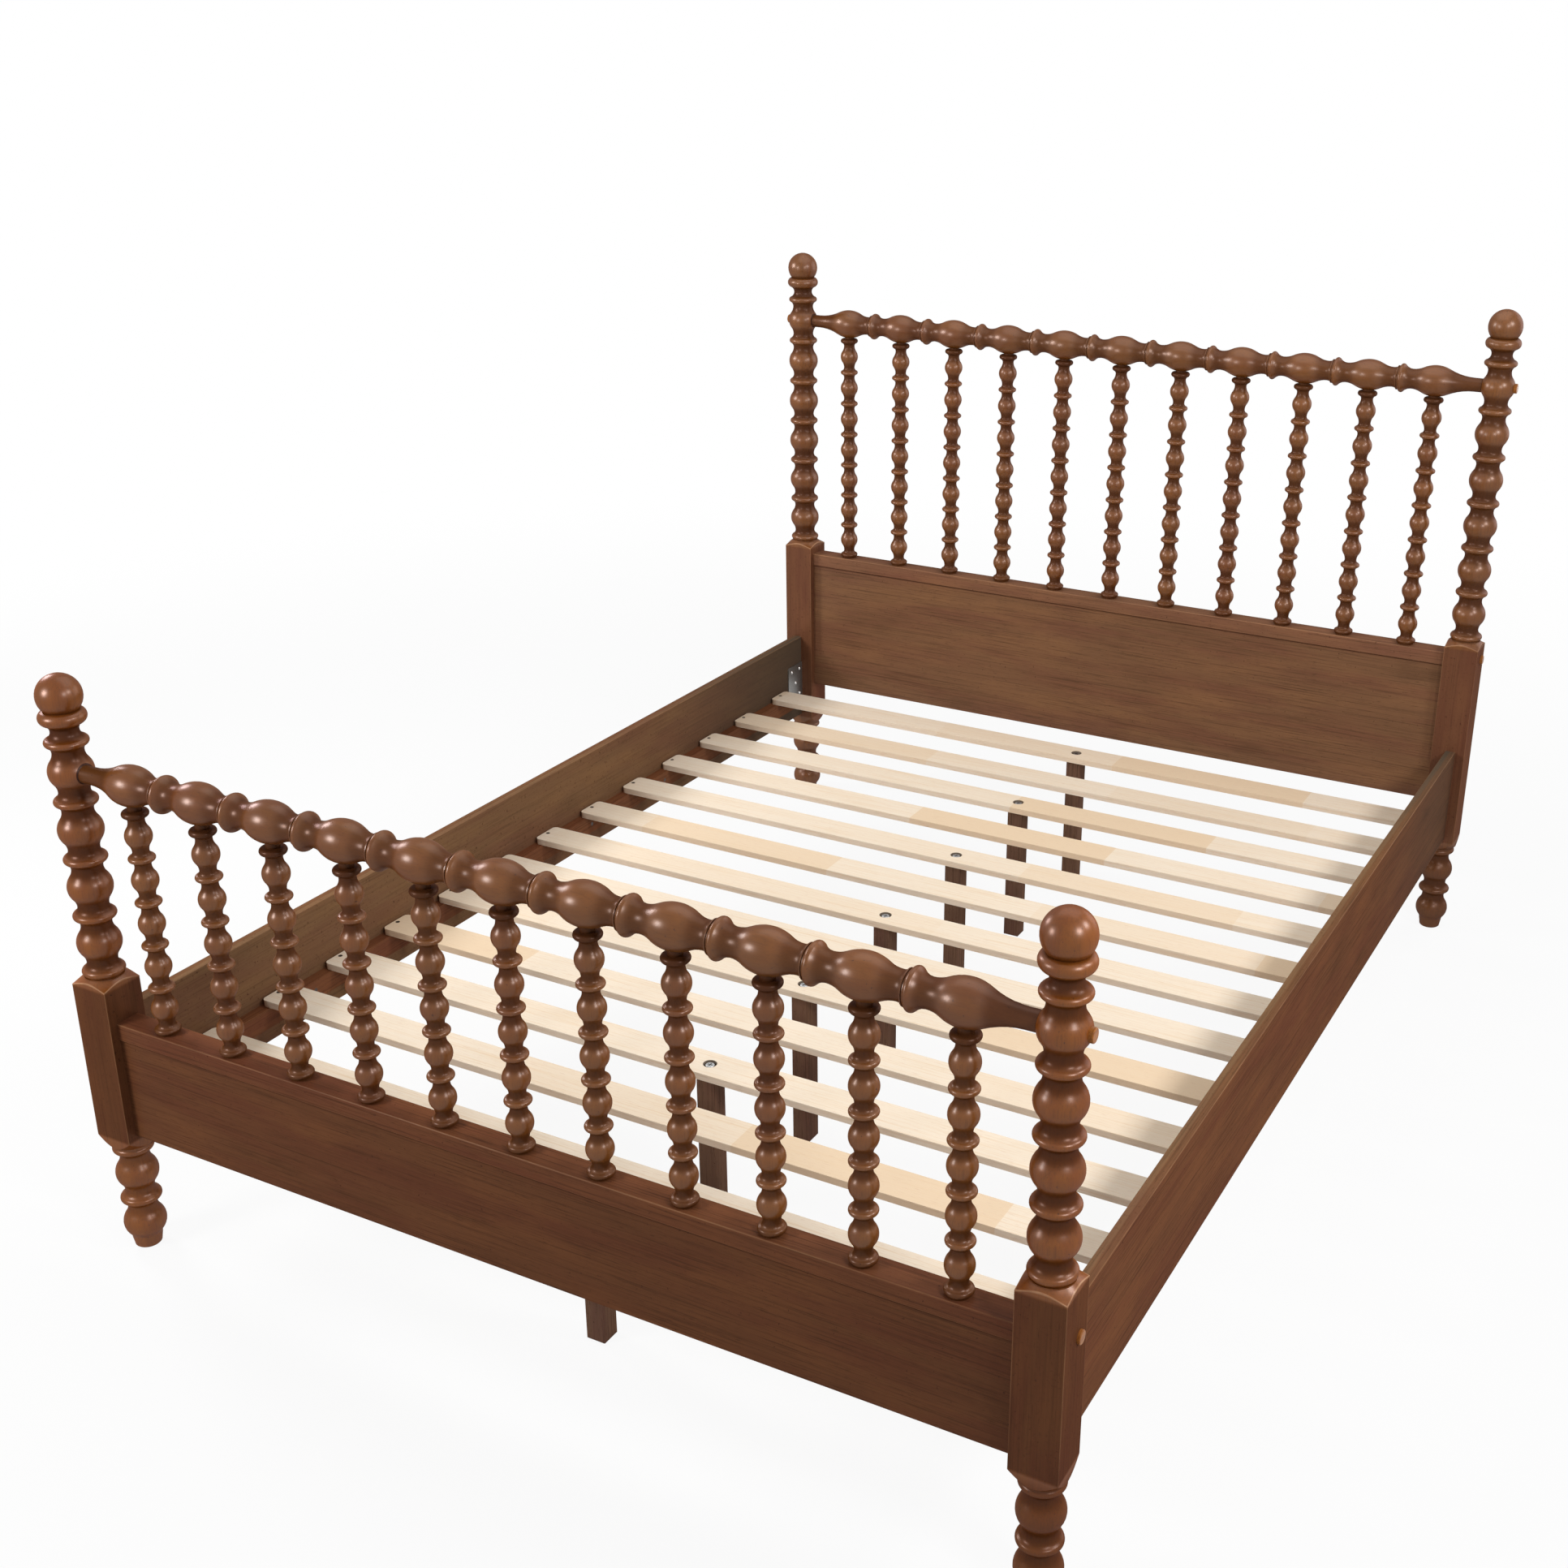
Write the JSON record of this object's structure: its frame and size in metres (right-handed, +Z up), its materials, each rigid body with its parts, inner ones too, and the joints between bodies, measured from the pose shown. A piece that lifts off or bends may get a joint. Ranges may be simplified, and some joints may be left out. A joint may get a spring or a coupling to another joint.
{
  "type": "spindle bed frame",
  "caption": "Wooden bed frame with turned posts, spindle headboard and footboard, side rails, flat slats and a row of centre legs; carries a mattress on its slats.",
  "frame": {"origin": "middle of the bed's footprint on the floor", "axes": "+Z up; +Y from the foot end to the head end; +X to the right seen from the foot"},
  "size_m": [1.6462, 2.2108, 1.3245],
  "materials": {
    "frame_wood": "stained red-brown, satin lacquer",
    "slat_wood": "bare pale wood, planed",
    "plug_wood": "light orange wood, satin",
    "zinc_steel": "zinc plated",
    "bright_steel": "bright zinc plated",
    "dark_steel": "dark oxide"
  },
  "bodies": {
    "root": {"bracket_screws": "zinc_steel", "centre_legs": "frame_wood", "foot_panel": "frame_wood", "foot_panel_cap": "frame_wood", "foot_post_left": "frame_wood", "foot_post_right": "frame_wood", "foot_spindle_01": "frame_wood", "foot_spindle_02": "frame_wood", "foot_spindle_03": "frame_wood", "foot_spindle_04": "frame_wood", "foot_spindle_05": "frame_wood", "foot_spindle_06": "frame_wood", "foot_spindle_07": "frame_wood", "foot_spindle_08": "frame_wood", "foot_spindle_09": "frame_wood", "foot_spindle_10": "frame_wood", "foot_spindle_11": "frame_wood", "foot_top_rail": "frame_wood", "head_panel": "frame_wood", "head_panel_cap": "frame_wood", "head_post_left": "frame_wood", "head_post_right": "frame_wood", "head_spindle_01": "frame_wood", "head_spindle_02": "frame_wood", "head_spindle_03": "frame_wood", "head_spindle_04": "frame_wood", "head_spindle_05": "frame_wood", "head_spindle_06": "frame_wood", "head_spindle_07": "frame_wood", "head_spindle_08": "frame_wood", "head_spindle_09": "frame_wood", "head_spindle_10": "frame_wood", "head_spindle_11": "frame_wood", "head_top_rail": "frame_wood", "ledger_screws": "dark_steel", "leg_bolts": "bright_steel", "post_plugs": "plug_wood", "rail_brackets": "zinc_steel", "side_rail_left": "frame_wood", "side_rail_right": "frame_wood", "slat_01": "slat_wood", "slat_02": "slat_wood", "slat_03": "slat_wood", "slat_04": "slat_wood", "slat_05": "slat_wood", "slat_06": "slat_wood", "slat_07": "slat_wood", "slat_08": "slat_wood", "slat_09": "slat_wood", "slat_10": "slat_wood", "slat_11": "slat_wood", "slat_12": "slat_wood", "slat_13": "slat_wood", "slat_ledger_left": "frame_wood", "slat_ledger_right": "frame_wood", "slat_screws": "dark_steel"}
  },
  "joints": []
}
